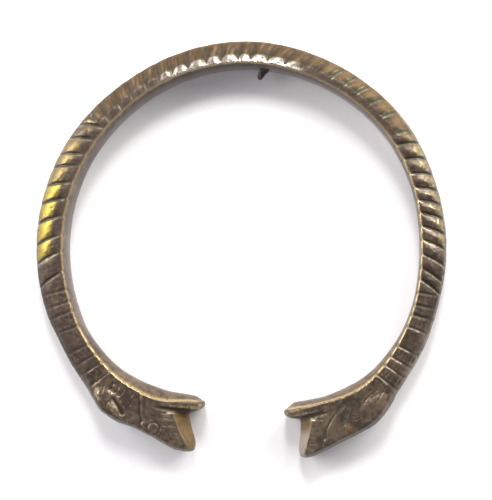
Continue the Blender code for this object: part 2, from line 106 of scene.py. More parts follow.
# Outline of each head, as shares of its length: back from the lip, inner edge's step
# towards the middle, width, and how far the wall swells below the inner edge
LEFT_OUTLINE = (
    (0.00, 0.205, 0.496, 0.008),
    (0.05, 0.188, 0.484, 0.034),
    (0.135, 0.173, 0.481, 0.038),
    (0.24, 0.141, 0.438, 0.054),
    (0.38, 0.086, 0.368, 0.076),
    (0.52, 0.049, 0.340, 0.086),
    (0.65, 0.032, 0.362, 0.076),
    (0.77, 0.019, 0.365, 0.065),
    (0.88, 0.005, 0.330, 0.057),
    (1.00, 0.000, 0.295, 0.046),
)
RIGHT_OUTLINE = (
    (0.00, 0.139, 0.521, 0.008),
    (0.05, 0.122, 0.508, 0.038),
    (0.14, 0.110, 0.503, 0.048),
    (0.28, 0.084, 0.466, 0.048),
    (0.42, 0.056, 0.433, 0.045),
    (0.58, 0.017, 0.404, 0.056),
    (0.71, -0.014, 0.382, 0.065),
    (0.80, -0.025, 0.354, 0.059),
    (0.92, -0.034, 0.309, 0.053),
    (1.00, -0.034, 0.278, 0.046),
)
# The hoop between the heads: share of the way round, then the same three measures as
# shares of the metal's width
HOOP_OUTLINE = (
    (0.03, -0.02, 1.10, 0.13),
    (0.058, -0.03, 1.05, 0.065),
    (0.086, 0.0, 1.13, 0.03),
    (0.16, 0.02, 1.15, 0.03),
    (0.27, 0.01, 1.10, 0.03),
    (0.33, 0.02, 1.035, 0.03),
    (0.39, -0.02, 0.96, 0.03),
    (0.50, -0.055, 0.96, 0.03),
    (0.61, -0.02, 0.915, 0.03),
    (0.69, -0.02, 0.905, 0.03),
    (0.76, 0.04, 0.885, 0.03),
    (0.84, 0.11, 0.965, 0.03),
    (0.91, 0.0, 0.89, 0.045),
    (0.94, -0.055, 0.935, 0.065),
    (0.97, -0.10, 0.97, 0.12),
)

# Runs of grooves between the collars: where the first starts on the inner edge and the gaps
# from each to the next, which the hand cut unevenly, then how deep the sharp cut is and the
# soft hollow it lies in, and how far the first's and the last's outer end lies ahead of the
# inner end, all in mm; last, the shares across where the cut starts, is at full depth,
# begins to fade, and how much of it is left at the rim
GROOVE_RUNS = (
    (37.6, (3.55, 2.9, 3.35, 3.1, 2.9, 3.1, 2.25, 3.0, 2.65),
     0.34, 0.12, -1.95, -2.35, (0.0, 0.45, 0.8, 0.5)),
    (65.6, (3.0, 2.7, 2.9, 2.5, 2.55, 2.9, 3.2, 2.5),
     0.16, 0.3, 1.3, 0.5, (0.02, 0.3, 0.4, 0.3)),
    (90.7, (2.05, 2.85, 3.05, 2.65, 2.35),
     0.16, 0.24, 0.7, 1.7, (0.05, 0.3, 0.4, 0.35)),
    (106.5, (2.4, 2.6, 2.8, 3.0, 3.65),
     0.32, 0.08, 1.5, 1.1, (0.2, 0.5, 0.65, 0.25)),
    (122.8, (2.7, 2.6, 2.55, 2.2, 2.2, 2.35, 2.3, 2.45, 2.4, 1.9),
     0.3, 0.27, 1.6, 1.95, (-0.05, 0.2, 0.85, 0.7)),
)
# Lengths of the collars behind each head, every other one of them hatched
COLLARS = (hatched_collar, plain_collar, hatched_collar, broad_collar)
COLLARS += COLLARS[2::-1]

inner_radius = inner_diameter / 2
half_height = metal_height / 2
gap_turn = 2 * math.asin(gap_between_lips / 2 / (inner_radius - lip_width * 1.6))
tip_angle = math.radians(gap_middle_angle) - gap_turn / 2
round_length = inner_radius * (2 * math.pi - gap_turn)
hoop_length = round_length - left_head_length - right_head_length
collars_length = sum(COLLARS)


def smooth_through(stops, value):
    """A curve through (place, size) stops that never swings past a stop."""
    places, sizes = np.array(sorted(stops)).T
    steps = np.diff(places)
    slopes = np.diff(sizes) / steps
    tangents = np.concatenate([slopes[:1], np.zeros(len(steps) - 1), slopes[-1:]])
    for i in range(1, len(steps)):
        if slopes[i - 1] * slopes[i] > 0:
            before, after = 2 * steps[i] + steps[i - 1], steps[i] + 2 * steps[i - 1]
            tangents[i] = (before + after) / (before / slopes[i - 1] + after / slopes[i])
    value = np.clip(value, places[0], places[-1])
    i = np.clip(np.searchsorted(places, value) - 1, 0, len(steps) - 1)
    t = (value - places[i]) / steps[i]
    start = (1 + 2 * t) * (1 - t) ** 2 * sizes[i] + t * (1 - t) ** 2 * steps[i] * tangents[i]
    end = t * t * (3 - 2 * t) * sizes[i + 1] + t * t * (t - 1) * steps[i] * tangents[i + 1]
    return start + end


def ease(value):
    """0 below 0 and 1 above 1, with a smooth step between."""
    t = np.clip(value, 0, 1)
    return t * t * (3 - 2 * t)


def rise(value, start, length):
    """0 up to the start, and 1 from a length beyond it."""
    return ease((value - start) / length)


def fall(value, start, length):
    """1 up to the start, and 0 from a length beyond it."""
    return 1 - rise(value, start, length)


def between(value, start, rising, end, falling):
    """1 from the start, which takes a length to rise, up to the end, with its own length."""
    return rise(value, start, rising) * fall(value, end, falling)


def bump(distance, reach):
    """1 at distance 0, falling smoothly to 0 at the reach."""
    return ease(1 - np.abs(distance) / reach)


def outline_stops(column):
    """One measure of the outlines, as (place along, size)."""
    stops = [(left_head_length + row[0] * hoop_length, row[column] * metal_width) for row in HOOP_OUTLINE]
    for head in HEADS:
        length = head["length"]
        stops += [(from_lip(head, row[0] * length), row[column] * length) for row in head["outline"]]
    return stops


def inner_edge(along):
    return inner_radius - smooth_through(outline_stops(1), along)


def width_at(along):
    return smooth_through(outline_stops(2), along)


def swell_at(along):
    return smooth_through(outline_stops(3), along)


def plan(along, across, inset=0.0):
    """Where a place on the metal lies, seen from above."""
    radius = inner_edge(along) + width_at(along) * across - inset
    angle = tip_angle - along / inner_radius
    return radius * np.cos(angle), radius * np.sin(angle)


def from_lip(head, along):
    """How far back from a head's lip a place is, or where a length back from it is along."""
    return along if head["side"] < 0 else round_length - along


def near_lip(along):
    return np.minimum(along, round_length - along)


def from_above(along, across):
    """Places on the metal as points seen from above."""
    return np.stack(plan(along, across), axis=-1)


# The jowl goes through stops of (across, share of the head's length back). The eye is at
# (mm back from the lip, across), and its size is its radius, its height and the depth of
# the cut round it
LEFT_HEAD = {
    "side": -1,
    "length": left_head_length,
    "outline": LEFT_OUTLINE,
    "mouth_depth": 2.5 * MM,
    "mouth_bevel": 2.3 * MM,
    "jaw_setback": 0.1 * MM,
    "jowl": ((0.04, 0.62), (0.22, 0.58), (0.47, 0.53), (0.71, 0.483), (0.91, 0.455)),
    "jowl_depth": 0.13 * MM,
    "collar_depth": 0.14 * MM,
    "tooth_lengths": (2.2, 2.1, 2.2, 2.3, 2.2, 2.1, 1.5, 1.6),
    "tooth_depth": 0.2 * MM,
    "stroke_depth": 0.14 * MM,
    "stroke_width": 0.42 * MM,
    "eye": (6.85, 0.75),
    "eye_size": (0.85 * MM, 0.1 * MM, 0.16 * MM),
}
RIGHT_HEAD = {
    "side": 1,
    "length": right_head_length,
    "outline": RIGHT_OUTLINE,
    "mouth_depth": 2.45 * MM,
    "mouth_bevel": 1.9 * MM,
    "jaw_setback": 0.8 * MM,
    "jowl": ((0.05, 0.635), (0.25, 0.528), (0.46, 0.396), (0.67, 0.312), (0.9, 0.295)),
    "jowl_depth": 0.08 * MM,
    "collar_depth": 0.27 * MM,
    "tooth_lengths": (2.4, 1.8, 0.9, 1.6, 0.9, 1.3, 1.0),
    "tooth_depth": 0.18 * MM,
    "stroke_depth": 0.13 * MM,
    "stroke_width": 0.4 * MM,
    "eye": (9.0, 0.75),
    "eye_size": (0.8 * MM, 0.08 * MM, 0.05 * MM),
}
HEADS = (LEFT_HEAD, RIGHT_HEAD)
for head in HEADS:
    head["mouth_width"] = head["outline"][0][2] * head["length"]
    head["lip"] = lip_width / head["mouth_width"]


def mouth_line(head, across):
    """How far back from the lip the metal ends, which gives the open mouth its outline."""
    lip = head["lip"]
    depth = head["mouth_depth"]
    setback = head["jaw_setback"]
    stops = (
        (0.0, 0.5 * lip_width),
        (0.2 * lip, 0.16 * lip_width),
        (0.45 * lip, 0.0),
        (0.75 * lip, 0.15 * lip_width),
        (lip, 0.55 * depth),
        (1.25 * lip, depth),
        (0.5, setback + 0.62 * (depth - setback)),
        (0.88, setback),
        (0.95, setback + 0.02 * lip_width),
        (1.0, setback + 0.35 * lip_width),
    )
    return smooth_through(stops, across)


def bevel_line(head, across):
    """How far back the slope inside the mouth starts."""
    lip = head["lip"]
    slope = (
        (0.0, 0.5 * lip_width),
        (lip, 0.5 * lip_width),
        (1.3 * lip, head["mouth_bevel"]),
        (1.0, jaw_tip_bevel),
    )
    return mouth_line(head, across) + smooth_through(slope, across)


def slabness(along):
    """0 where the section is the hoop's dome, 1 where it is a head's flat cheek."""
    return np.max([fall(from_lip(head, along) / head["length"], 0.8, 0.3) for head in HEADS], axis=0)


def section_height(along, across):
    """Half height of the plain section, before anything is cut into it. The hoop's inner
    third is flat at the sides and falls away from the edge at the back."""
    at_back = fall(np.abs(along / round_length - 0.47), 0.055, 0.085)
    shoulder = 1.35 * rise(across, 0.5, 0.75)
    tilt = dome_tilt * (shoulder + (across - shoulder) * at_back)
    dome = (1 - tilt) * np.sqrt(np.clip(1 - across**3, 0, 1))
    width = width_at(along)
    rim = np.clip(1 - (1 - across) * width / rim_round, 0, 1)
    slab = np.sqrt(np.clip(1 - rim**2.2, 0, 1))
    blend = slabness(along)
    lip = 1 - ease(near_lip(along) / right_head_length * 2.5)
    corner_round = edge_round + (lip_round - edge_round) * lip
    edge = np.clip(1 - across * width / corner_round, 0, 1)
    corner = corner_round * (1 - np.sqrt(1 - edge * edge))
    return half_height * (dome + (slab - dome) * blend) - corner


def mouth_share(head, along, across):
    """Share of the height left inside the mouth's slope and at the rounded lip."""
    lip = head["lip"]
    end = mouth_line(head, across)
    past = from_lip(head, along) - end
    inside = np.clip(past / (bevel_line(head, across) - end), 0, 1)
    least = jaw_edge_height / metal_height
    slope = least + (1 - least) * inside
    nose = least + (1 - least) * np.sqrt(1 - (1 - inside) ** 2)
    near = np.clip(past / jaw_edge_round, 0, 1)
    rounded = 0.3 + 0.7 * np.sqrt(1 - (1 - near) ** 2)
    return (nose + (slope - nose) * ease((across / lip - 0.9) / 0.4)) * rounded


def jowl_line(head, across):
    return head["length"] * smooth_through(head["jowl"], across)


# Large primes that scatter the noise's cells over its table of chances
CELL_PRIMES = (73856093, 19349663, 83492791)


def lattice_noise(points, grain, seed):
    """Smooth noise between -1 and 1 with grains of about the given size."""
    table = np.random.default_rng(seed).uniform(-1, 1, 4096)
    cell = points / grain
    low = np.floor(cell).astype(np.int64)
    t = ease(cell - low)
    total = np.zeros(points.shape[:-1])
    for corner in itertools.product((0, 1), repeat=3):
        key = np.bitwise_xor.reduce((low + corner) * CELL_PRIMES, axis=-1)
        weight = np.prod(np.where(corner, t, 1 - t), axis=-1)
        total += weight * table[key & len(table) - 1]
    return total


def collar_lines(head):
    """The cross grooves that part one head's collars, as (place, lean). The ones next to the
    left head have slipped towards its mouth, and lean."""
    lines = []
    for edge in itertools.accumulate((0.0, *COLLARS)):
        if head["side"] < 0:
            slipped = fall(edge / collars_length, 0.6, 0.15)
            place = left_head_length + edge - slipped * left_collar_shift
            lines.append((place, slipped * left_collar_lean))
        else:
            lines.append((round_length - right_head_length - edge, -right_collar_lean))
    return sorted(lines)


def groove_lines():
    """Every oblique groove as (place, lean, depth, depth of its hollow, span across)."""
    lines = []
    for place, gaps, depth, hollow, lean_first, lean_last, span in GROOVE_RUNS:
        for k, gap in enumerate((0.0,) + gaps):
            place += gap
            lean = lean_first + (lean_last - lean_first) * k / len(gaps)
            lines.append((place * MM, lean * MM, depth * MM, hollow * MM, span))
    return lines


COLLAR_GROOVES = collar_lines(LEFT_HEAD), collar_lines(RIGHT_HEAD)
GROOVES = groove_lines()
# One short cut slants the other way between the first two runs
SHORT_GROOVE = (63.15 * MM, 2.02 * MM, 0.26 * MM, 0.08 * MM, (0.4, 0.6, 0.8, 0.5))
ALL_GROOVES = GROOVES + [SHORT_GROOVE]
# Where the grooves lie whose lips are not pale in the same way as the rest
back_start = 65 * MM
back_middle = 80 * MM
back_end = 104 * MM
upper_right_start = 105 * MM
upper_right_end = 121 * MM


def groove_bow(across):
    """Share of its lean that a groove has reached: it bows a little towards the rim."""
    return across + 0.25 * (across * across - across)


def oblique_grooves(along, across):
    """Depth cut by the oblique grooves with their hollows, and the burr raised beside them."""
    cut = np.zeros_like(along)
    hollow = np.zeros_like(along)
    burr = np.zeros_like(along)
    for k, (place, lean, full, soft, (first, at_full, fading, left)) in enumerate(ALL_GROOVES):
        distance = along - place - lean * groove_bow(across)
        reach = ease((across - first) / (at_full - first) + 0.1)
        reach = reach * (1 - (1 - left) * ease((across - fading) / (1.05 - fading)))
        reach = reach * full * (1 + 0.12 * math.sin(5.1 * k))
        cut = np.maximum(cut, reach - np.hypot(distance * groove_slope, groove_bottom))
        low = ease((across - first + 0.02) / 0.4) * (1 - 0.85 * rise(across, 0.55, 0.4))
        hollow = np.maximum(hollow, soft * low * bump(distance, hollow_reach))
        beside = np.abs(distance) - reach / groove_slope - burr_gap
        burr = np.maximum(burr, bump(beside, 0.13 * MM) * reach)
    return cut + hollow, 0.05 * burr


def groove_lips(along, across):
    """The pale line along the lower lip of each oblique groove, where its wall faces the light,
    partly pale dust and partly a painted highlight, and at the upper right along both its
    lips, from 0 to 1. Round the back it soon fades from the inner edge."""
    pale = np.zeros_like(along)
    for place, lean, full, _, (first, _, fading, _) in ALL_GROOVES:
        distance = along - place - lean * groove_bow(across)
        lower = distance * (1 if place > round_length / 2 else -1)
        other = 0.8 if upper_right_start < place < upper_right_end else 0.0
        if back_start < place < back_end:
            fading = 0.2 if place < back_middle else 0.0
        half = 0.9 * full / groove_slope
        line = np.maximum(bump(lower - half, 0.2 * MM), other * bump(lower + half, 0.2 * MM))
        pale = np.maximum(pale, line * between(across, first, 0.15, fading, 0.2))
    return pale


def collar_cuts(along, across):
    """Depth of the cross grooves between the collars, and the burr beside them."""
    depth = np.zeros_like(along)
    burr = np.zeros_like(along)
    rim_fade = 1 - 0.5 * rise(across, 0.85, 0.15)
    for head, lines in zip(HEADS, COLLAR_GROOVES):
        for place, lean in lines:
            distance = np.abs(along - place - lean * across)
            slope = np.clip(1 - distance / collar_groove_width * 2, 0, 1)
            cut = head["collar_depth"] * (0.5 * slope + 0.5 * ease(slope))
            depth = np.maximum(depth, cut * rim_fade)
            lip = bump(distance - collar_groove_width / 2 - burr_gap, 0.14 * MM)
            burr = np.maximum(burr, 0.015 * MM * lip * rim_fade)
    return depth, burr


# Nicks of the inner edge away from the grooves, in mm along
SMALL_NICKS = (11.4, 13.9, 15.2, 165.6, 166.9, 168.3)
# The weathered skin: each wave's height and grain in mm, and where its chance starts
SKIN_WAVES = ((0.03, 2.2, 11), (0.022, 0.9, 12), (0.012, 0.38, 13))
pit_depth = 0.07 * MM
pit_grain = 0.55 * MM

# The mesh: how many rings there are round the whole length, and lines along the top, the
# underside and each half of the wall
ring_count = 1150
top_lines = 50
under_lines = 18
wall_lines = 8


def lean_at(along):
    """How far the rings lean with the grooves, eased out towards the heads."""
    stops = [(0.0, 0.0), (left_head_length * 0.8, 0.0), (round_length, 0.0)]
    stops += [(round_length - right_head_length * 0.8, 0.0), *itertools.chain(*COLLAR_GROOVES)]
    stops += [(place, lean) for place, lean, *_ in GROOVES]
    reach = np.linspace(-2.5, 2.5, 11) * MM
    return np.mean([np.interp(along + step, *zip(*sorted(stops))) for step in reach], axis=0)


def even_across(station, count, weight=1.0):
    """Shares of the width that lie evenly along the section's skin at one station."""
    across = 1 - (1 - np.linspace(0, 1, 300)) ** 2
    across = np.concatenate([np.linspace(0, across[20], 20, endpoint=False), across[20:]])
    height = section_height(np.full_like(across, station), across)
    steps = np.hypot(np.diff(across) * width_at(station), np.diff(height) * weight)
    length = np.concatenate([[0.0], np.cumsum(steps)])
    return np.interp(np.linspace(0, length[-1], count), length, across)


def grid():
    """along, across and part of the section for every point, by ring and by line."""
    stations = np.linspace(0, round_length, ring_count)
    top = np.array([even_across(station, top_lines) for station in stations])
    under = np.array([even_across(station, under_lines, 0.6) for station in stations])
    under = under[:, ::-1][:, 1:]
    level = np.linspace(0, 1, wall_lines, endpoint=False)
    wall = np.zeros((ring_count, wall_lines))
    across = np.concatenate([wall, top, under, wall[:, 1:]], axis=1)
    levels = np.concatenate([level, np.zeros(top_lines + under_lines - 1), level[:0:-1]])
    turn = np.repeat((-1, 0, 1, 2), (wall_lines, top_lines, under_lines - 1, wall_lines - 1))
    station = stations[:, None] + np.zeros_like(across)
    along = station + lean_at(station) * groove_bow(across)
    for head in HEADS:
        back = from_lip(head, station)
        shift = mouth_line(head, across) * (1 - ease(back / (0.5 * head["length"])))
        along = along - head["side"] * shift
    return along, across, levels, turn


def skin(along, across, level, turn, top, under):
    """Points of the skin. turn is -1 on the upper half of the wall, 0 on top, 1 under and
    2 on the lower half of the wall; level is the share of the way up or down that half."""
    on_wall = (turn < 0) | (turn > 1)
    lift = np.select([turn < 0, turn == 0, turn == 1], [top * level, top, -under], -under * level)
    inset = swell_at(along) * rise(near_lip(along), 0.2 * MM, 2.5 * MM)
    inset = inset * np.where(on_wall, 1 - level**2, 0)
    nick = edge_nicks(along) * np.where(on_wall, level**12, bump(across, 0.1))
    x, y = plan(along, across, inset - np.where(turn > 0, 0, nick))
    return np.stack([x, y, half_height + lift], axis=-1)


def edge_nicks(along):
    """How far the inner top edge is filed back where a collar's groove or a deep oblique
    groove runs out over it."""
    nicks = [(place, 0.22, 0.5) for place, _ in itertools.chain(*COLLAR_GROOVES)]
    nicks += [(place, 0.16 - span[0], 0.5) for place, _, _, _, span in GROOVES]
    nicks += [(place * MM, 0.16, 0.35) for place in SMALL_NICKS]
    return np.max([depth * MM * bump(along - place, reach * MM) for place, depth, reach in nicks], axis=0)


# The carving on the heads. Places are (mm back from the lip, across)
LEFT_STROKES = (
    ((9.15, 0.79), (8.7, 0.66), (7.9, 0.54), (6.9, 0.53)),
    ((5.9, 0.66), (4.9, 0.69), (3.1, 0.86), (1.5, 0.87)),
    ((14.5, 0.08), (14.2, 0.15), (14.1, 0.30), (14.4, 0.4)),
    ((13.7, 0.03), (13.0, 0.08), (12.5, 0.17), (12.7, 0.28)),
    ((13.9, 0.42), (13.65, 0.47), (13.2, 0.52), (12.7, 0.5)),
    ((12.75, 0.36), (12.3, 0.33), (11.9, 0.38), (12.0, 0.48)),
    ((16.8, 0.16), (16.3, 0.22), (15.9, 0.33), (16.1, 0.42)),
    ((15.6, 0.1), (15.1, 0.18), (15.0, 0.32), (15.3, 0.42)),
    ((17.4, 0.42), (16.9, 0.5), (16.6, 0.6), (16.9, 0.7)),
)
RIGHT_STROKES = (
    ((16.95, 0.06), (17.2, 0.30), (17.0, 0.48), (16.3, 0.54), (15.4, 0.56), (14.5, 0.60)),
    ((16.4, 0.39), (15.1, 0.33), (13.9, 0.32), (12.7, 0.40)),
    ((15.6, 0.45), (14.7, 0.41), (14.0, 0.41)),
    ((16.4, 0.33), (15.2, 0.23), (13.9, 0.22), (12.7, 0.30)),
    ((15.8, -0.02), (15.2, 0.17)),
    ((14.6, -0.05), (14.4, 0.12)),
    ((10.0, 0.51), (10.9, 0.54)),
    ((11.6, 0.62), (10.9, 0.64), (10.3, 0.63)),
    ((7.4, 0.62), (7.2, 0.72), (7.4, 0.84)),
)
RIGHT_ARCS = (
    ((10.6, 0.2), (9.3, 0.29), (8.1, 0.35), (7.0, 0.46), (6.1, 0.57), (5.5, 0.67), (5.2, 0.8)),
    ((10.9, 0.28), (10.1, 0.4), (9.3, 0.53), (8.4, 0.68)),
)
LEFT_RIDGE = ((15.6, 0.6), (14.5, 0.68), (13.2, 0.77))
LEFT_LEAF = ((15.1, 0.47), (14.0, 0.545), (12.9, 0.63), (11.8, 0.74))
LEFT_BUMPS = ((15.15, 0.42, 0.5), (15.7, 0.23, 0.45), (14.9, 0.22, 0.4), (16.85, 0.68, 0.5))


def curve(path, count):
    """Points spaced along a smooth curve through the path's own points."""
    shares = np.linspace(0, len(path) - 1, count)
    return np.stack([smooth_through(enumerate(column), shares) for column in zip(*path)], axis=-1)


def on_head(head, path):
    """A path of (mm back, across) as points seen from above."""
    points = curve(path, 3 * len(path))
    return from_above(from_lip(head, points[:, 0] * MM), points[:, 1])


def distance_to(seen, head, back, across):
    """How far the points seen from above lie from a spot that is so many mm back."""
    spot = from_above(from_lip(head, back * MM), across)
    return np.hypot(*(seen - spot).transpose(2, 0, 1))


def stroke(seen, path, width, round_bottom=0.0):
    """Profile of a graver's stroke along a path: 1 in its middle, 0 at its edges and ends.
    seen holds the skin's points from above."""
    best = np.zeros(seen.shape[:-1])
    low, high = path.min(axis=0) - width, path.max(axis=0) + width
    near = np.all((seen > low) & (seen < high), axis=-1)
    points = seen[near]
    lengths = np.hypot(*np.diff(path, axis=0).T)
    before = np.concatenate([[0.0], np.cumsum(lengths)])
    found = np.zeros(len(points))
    for k in range(len(path) - 1):
        step = path[k + 1] - path[k]
        share = np.clip((points - path[k]) @ step / max(step @ step, 1e-12), 0, 1)
        distance = np.hypot(*(points - path[k] - share[:, None] * step).T)
        run = before[k] + share * lengths[k]
        taper = ease(np.minimum(run, before[-1] - run) / (0.9 * width) + 0.35)
        profile = np.clip(1 - distance / (width / 2 * np.maximum(taper, 0.2)), 0, 1)
        profile = profile + (ease(profile) - profile) * round_bottom
        found = np.maximum(found, profile * taper)
    best[near] = found
    return best


def strokes(seen, head, paths, width):
    """Profile of several strokes of one width, where they cross the deepest."""
    return np.max([stroke(seen, on_head(head, path), width) for path in paths], axis=0)


def tooth_paths(head):
    """The short cuts side by side behind the mouth's slope."""
    lengths = head["tooth_lengths"]
    for k, length in enumerate(lengths):
        across = 0.21 + 0.59 * k / (len(lengths) - 1) - 0.02 * math.sin(1.9 * k)
        near = float(bevel_line(head, across)) / MM + 0.1
        yield (near, across), (near + length * 0.5, across + 0.03), (near + length, across + 0.07)


def hatch_strokes(seen, lines):
    """The cuts that run along each hatched collar, between its two grooves."""
    depth = np.zeros(seen.shape[:-1])
    chance = np.random.default_rng(5)
    for (first, first_lean), (last, last_lean) in list(zip(lines, lines[1:]))[::2]:
        for k in range(5):
            across = 0.12 + 0.17 * k + chance.uniform(-0.025, 0.025)
            start = first + first_lean * across + chance.uniform(0.3, 0.6) * MM
            end = last + last_lean * across - chance.uniform(0.3, 0.6) * MM
            slant = chance.uniform(-0.02, 0.02)
            path = from_above(np.array([start, end]), np.array([across - slant, across + slant]))
            cut = stroke(seen, path, chance.uniform(0.26, 0.36) * MM)
            depth = np.maximum(depth, cut * chance.uniform(0.1, 0.17) * MM)
    return depth


def cheek(seen, head, paths):
    """The eye, a boss with a cut round it, and the depth of the teeth and the strokes."""
    width = head["stroke_width"]
    teeth = head["tooth_depth"] * strokes(seen, head, tooth_paths(head), width)
    cut = np.maximum(teeth, head["stroke_depth"] * strokes(seen, head, paths, width))
    distance = distance_to(seen, head, *head["eye"])
    radius, height, ring = head["eye_size"]
    boss = height * np.sqrt(np.clip(1 - (distance / radius) ** 2, 0, 1))
    return boss - ring * bump(distance - 1.08 * MM, 0.24 * MM), cut


def head_relief(head, along, across, seen):
    """All that is raised (+) or cut (-) on a head's cheek, before the mouth is opened."""
    back = from_lip(head, along)
    width = head["mouth_width"]
    share = back / head["length"]
    relief = 0.38 * MM * ease(1 - ((share - 0.78) / 0.17) ** 2 - ((across - 0.68) / 0.36) ** 2)
    jowl = back - jowl_line(head, across)
    fade = ease((1 - across) / 0.12) * ease(across / 0.08 + 0.2)
    relief -= head["jowl_depth"] * ease(1 - np.abs(jowl) / (0.55 * MM)) * fade
    relief += 0.06 * MM * bump(jowl + 0.62 * MM, 0.55 * MM) * fade
    reach = ease(2.2 - 4.4 * share)
    offset = (across - 1.12 * head["lip"]) * width
    relief -= 0.42 * MM * reach * ease(1 - np.abs(offset) / (0.75 * MM))
    relief += 0.05 * MM * reach * bump(offset + 0.9 * MM, 0.6 * MM)
    return relief


def left_carving(seen):
    eye, depth = cheek(seen, LEFT_HEAD, LEFT_STROKES)
    leaf = stroke(seen, on_head(LEFT_HEAD, LEFT_LEAF), 1.5 * MM, 0.5)
    raised = 0.12 * MM * stroke(seen, on_head(LEFT_HEAD, LEFT_RIDGE), 0.8 * MM, 1.0)
    for back, across, size in LEFT_BUMPS:
        knob = bump(distance_to(seen, LEFT_HEAD, back, across), size * MM)
        raised = np.maximum(raised, 0.16 * MM * knob)
    return raised + eye - np.maximum(depth, 0.42 * MM * leaf)


def right_carving(seen):
    eye, depth = cheek(seen, RIGHT_HEAD, RIGHT_STROKES)
    return eye - np.maximum(depth, 0.15 * MM * strokes(seen, RIGHT_HEAD, RIGHT_ARCS, 0.5 * MM))


def along_grooves(along, across):
    """Where on the inner edge a line that leans with the grooves would start."""
    places, leans, *_ = zip(*GROOVES)
    return along - np.interp(along, places, leans) * groove_bow(across)


def lobe_share(along, across):
    """0 on an oblique groove and 1 halfway between two of them; 0 beyond the runs."""
    places = np.array([place for place, *_ in GROOVES])
    own = along_grooves(along, across)
    k = np.clip(np.searchsorted(places, own) - 1, 0, len(places) - 2)
    share = np.clip((own - places[k]) / (places[k + 1] - places[k]), 0, 1)
    inside = (own > places[0]) & (own < places[-1])
    return np.where(inside, 4 * share * (1 - share), 0)


def upper_side(along, across):
    """Half height of the carved side that shows."""
    seen = from_above(along, across)
    height = section_height(along, across)
    cut, burr = oblique_grooves(along, across)
    collar_cut, collar_burr = collar_cuts(along, across)
    hatch = np.maximum(*(hatch_strokes(seen, lines) for lines in COLLAR_GROOVES))
    cut = np.maximum(np.maximum(cut, collar_cut), hatch)
    swell = 0.08 * MM * (lobe_share(along, across) - 0.7) * ease(across / 0.3)
    height += swell + burr + collar_burr - cut
    for head, carving in zip(HEADS, (left_carving, right_carving)):
        edge_fade = ease((1 - across) / 0.08)
        relief = head_relief(head, along, across, seen) + carving(seen)
        height = (height + relief * edge_fade) * mouth_share(head, along, across)
    return height


def opened(height, along, across):
    """A half height with both mouths and lips cut out of it."""
    for head in HEADS:
        height = height * mouth_share(head, along, across)
    return height


def under_side(along, across):
    """Half height of the plainer side that it lies on."""
    cut = np.maximum(oblique_grooves(along, across)[0], collar_cuts(along, across)[0])
    return opened(section_height(along, across) - np.clip(cut, 0, None), along, across)


def weathering(points):
    """How far the old skin stands out in low waves, less the depth of its pits."""
    waves = sum(height * MM * lattice_noise(points, grain * MM, seed) for height, grain, seed in SKIN_WAVES)
    return waves - pit_depth * rise(lattice_noise(points, pit_grain, 14), 0.52, 0.3)


def normals_of(points):
    """Outward directions on the grid of rings (closed) by lines (open)."""
    around = np.roll(points, -1, axis=1) - np.roll(points, 1, axis=1)
    onward = np.gradient(points, axis=0)
    normal = np.cross(onward, around)
    length = np.linalg.norm(normal, axis=-1, keepdims=True)
    return normal / np.maximum(length, 1e-12)


def blurred(values, rings, lines):
    """The mean over a few neighbouring rings and lines."""
    total = values
    for _ in range(rings):
        padded = np.concatenate([total[:1], total, total[-1:]])
        total = (padded[2:] + padded[:-2] + 2 * total) / 4
    for _ in range(lines):
        total = (np.roll(total, 1, axis=1) + np.roll(total, -1, axis=1) + 2 * total) / 4
    return total


def cap_faces(across, start, rim, facing):
    """Closes a mouth with triangles between the upper and the lower half of its ring."""
    upper = [(k, True) for k in range(1, rim + 1)]
    lower = [(k, False) for k in range(len(across) - 1, rim - 1, -1)]
    faces = []
    high = low = 0
    for k, is_upper in sorted(upper + lower, key=lambda step: across[step[0]]):
        if len({high, low, k}) == 3:
            faces.append([start + corner for corner in (high, low, k)[::facing]])
        high, low = (k, low) if is_upper else (high, k)
    return faces


def spur_points(rings=7, sides=12):
    """The stub left by the casting: a knobbly peg out of the inner wall, blunt at its tip.
    Gives its points, its faces and how dark each point is, darkest at its root."""
    turn = math.radians(spur_angle)
    up = Vector((0, 0, 1))
    inward = Vector((-math.cos(turn) - 0.25, -math.sin(turn), 0.0)).normalized()
    aside = up.cross(inward)
    foot = Vector((math.cos(turn), math.sin(turn), 0.0)) * (inner_radius + spur_root)
    points = []
    for k in range(rings):
        share = k / (rings - 1)
        radius = spur_width / 2 * (1.75 - 1.9 * share + 0.95 * share * share) * (1 if share < 1 else 0.55)
        middle = foot + inward * (spur_reach + spur_root) * share + up * spur_height
        for side in range(sides):
            angle = 2 * math.pi * side / sides
            wobble = 1 + 0.16 * math.sin(3 * angle + 5 * share) + 0.1 * math.sin(7 * share + angle)
            out = aside * math.cos(angle) + up * math.sin(angle)
            points.append(list(middle + out * radius * wobble))
    faces = [list(range(sides))[::-1], [(rings - 1) * sides + side for side in range(sides)]]
    for start in range(0, (rings - 1) * sides, sides):
        for side in range(sides):
            here, after = start + side, start + (side + 1) % sides
            faces.append([here, after, after + sides, here + sides])
    dark_root = 1 - 0.8 * rise(np.repeat(np.linspace(0, 1, rings), sides), 0.45, 0.3)
    return points, faces, dark_root


def skin_faces(across, outward):
    """Quads round the section and triangles over both ends, all facing out."""
    rings, lines = across.shape
    index = np.arange(rings * lines).reshape(rings, lines)
    after = np.roll(index, -1, axis=1)
    quads = np.stack([index[:-1], after[:-1], after[1:], index[1:]], axis=-1).reshape(-1, 4)
    order = -1 if outward > 0 else 1
    rim = wall_lines + top_lines - 1
    faces = quads[:, ::order].tolist()
    faces += cap_faces(across[0], 0, rim, order)
    faces += cap_faces(across[-1], index[-1, 0], rim, -order)
    return faces


